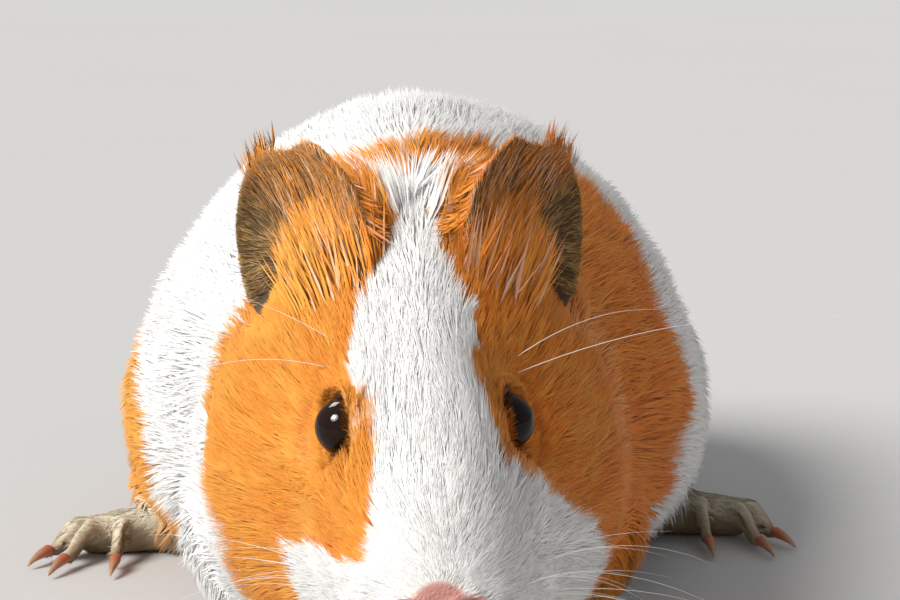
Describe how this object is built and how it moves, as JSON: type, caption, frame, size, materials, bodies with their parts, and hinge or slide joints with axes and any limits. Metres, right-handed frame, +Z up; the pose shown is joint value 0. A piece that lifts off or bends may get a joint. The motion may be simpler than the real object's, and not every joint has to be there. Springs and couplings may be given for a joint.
{
  "type": "guinea pig",
  "caption": "Life-size still model of a short-haired ginger and white guinea pig, crouching with its feet spread and its head to the front.",
  "frame": {"origin": "on the floor, under the middle of the animal's box", "axes": "+Z up; the animal faces -Y, and its left side is at +X"},
  "size_m": [0.161, 0.2398, 0.1002],
  "materials": {
    "ginger_coat": "short, glossy ginger fur, lying back along the body",
    "white_coat": "short white fur, lying back along the body",
    "ear_skin": "thin dark grey-brown skin, sparsely covered with fine ginger hairs",
    "foot_skin": "pale tan skin with very short hairs",
    "nose_skin": "soft pink skin, slightly damp",
    "claw": "pale horn with the pink quick showing through",
    "eye": "wet, glossy black"
  },
  "bodies": {
    "root": {"claw_fore_left_1": "claw", "claw_fore_left_2": "claw", "claw_fore_left_3": "claw", "claw_fore_left_4": "claw", "claw_fore_right_1": "claw", "claw_fore_right_2": "claw", "claw_fore_right_3": "claw", "claw_fore_right_4": "claw", "claw_hind_left_1": "claw", "claw_hind_left_2": "claw", "claw_hind_left_3": "claw", "claw_hind_right_1": "claw", "claw_hind_right_2": "claw", "claw_hind_right_3": "claw", "ear_left": "ear_skin", "ear_right": "ear_skin", "eye_left": "eye", "eye_right": "eye", "foreleg_left": "white_coat", "foreleg_right": "white_coat", "forepaw_left": "foot_skin", "forepaw_right": "foot_skin", "head": "ginger_coat", "hind_foot_left": "foot_skin", "hind_foot_right": "foot_skin", "lower_jaw": "white_coat", "neck": "ginger_coat", "nose": "nose_skin", "rump": "white_coat", "thigh_left": "white_coat", "thigh_right": "ginger_coat", "trunk": "white_coat"}
  },
  "joints": []
}
